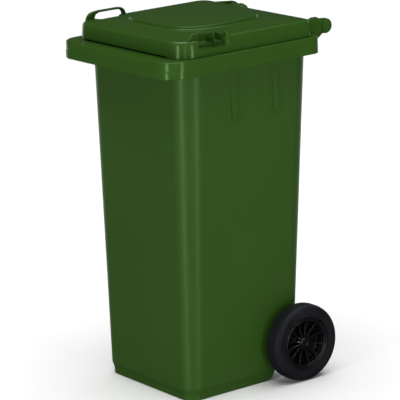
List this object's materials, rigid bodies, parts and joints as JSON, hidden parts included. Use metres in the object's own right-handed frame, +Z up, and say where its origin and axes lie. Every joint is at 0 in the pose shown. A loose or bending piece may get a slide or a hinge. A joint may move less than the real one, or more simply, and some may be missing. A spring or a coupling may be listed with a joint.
{
  "type": "wheelie bin",
  "caption": "Tall two-wheeled plastic refuse bin with a hinged lid, side lid handles, a rear grip bar, a channel rim and spoked wheels on a steel axle.",
  "frame": {"origin": "on the ground, in the middle of the bin's overall box", "axes": "+Z up, the front faces -Y, the hinge and wheels are at +Y, +X is the right side seen from the front"},
  "size_m": [0.5, 0.544, 0.9475],
  "materials": {
    "green_plastic": "fine-grained moulded polyethylene, satin",
    "black_plastic": "black moulded polypropylene, satin",
    "rubber": "black solid rubber",
    "zinc_steel": "zinc-plated steel",
    "spring_steel": "spring steel wire"
  },
  "bodies": {
    "root": {"bin_body": "green_plastic", "axle": "zinc_steel", "hinge_pin_left": "green_plastic", "hinge_pin_right": "green_plastic"},
    "lid": {"lid": "green_plastic"},
    "wheel_left": {"wheel_centre_left": "black_plastic", "tyre_left": "rubber", "latch_cap_left": "black_plastic", "latch_spring_left": "spring_steel"},
    "wheel_right": {"wheel_centre_right": "black_plastic", "tyre_right": "rubber", "latch_cap_right": "black_plastic", "latch_spring_right": "spring_steel"},
    "latch_left": {"wheel_latch_left": "black_plastic"},
    "latch_right": {"wheel_latch_right": "black_plastic"}
  },
  "joints": [
    {"name": "lid_hinge", "type": "hinge", "parent": "root", "child": "lid", "pos_m": [0, 0.253, 0.898], "axis": [-1, 0, 0], "range_deg": [0, 270]},
    {"name": "wheel_left_spin", "type": "hinge", "parent": "root", "child": "wheel_left", "pos_m": [-0.2255, 0.116, 0.1], "axis": [1, 0, 0], "continuous": true},
    {"name": "wheel_right_spin", "type": "hinge", "parent": "root", "child": "wheel_right", "pos_m": [0.2255, 0.116, 0.1], "axis": [1, 0, 0], "continuous": true},
    {"name": "latch_left_pull", "type": "slide", "parent": "wheel_left", "child": "latch_left", "axis": [0, 0, 1], "range_m": [0, 0.0035], "stiffness_N_per_m": 800, "springref_m": -0.003, "deforming": ["latch_spring_left"]},
    {"name": "latch_right_pull", "type": "slide", "parent": "wheel_right", "child": "latch_right", "axis": [0, 0, 1], "range_m": [0, 0.0035], "stiffness_N_per_m": 800, "springref_m": -0.003, "deforming": ["latch_spring_right"]}
  ]
}
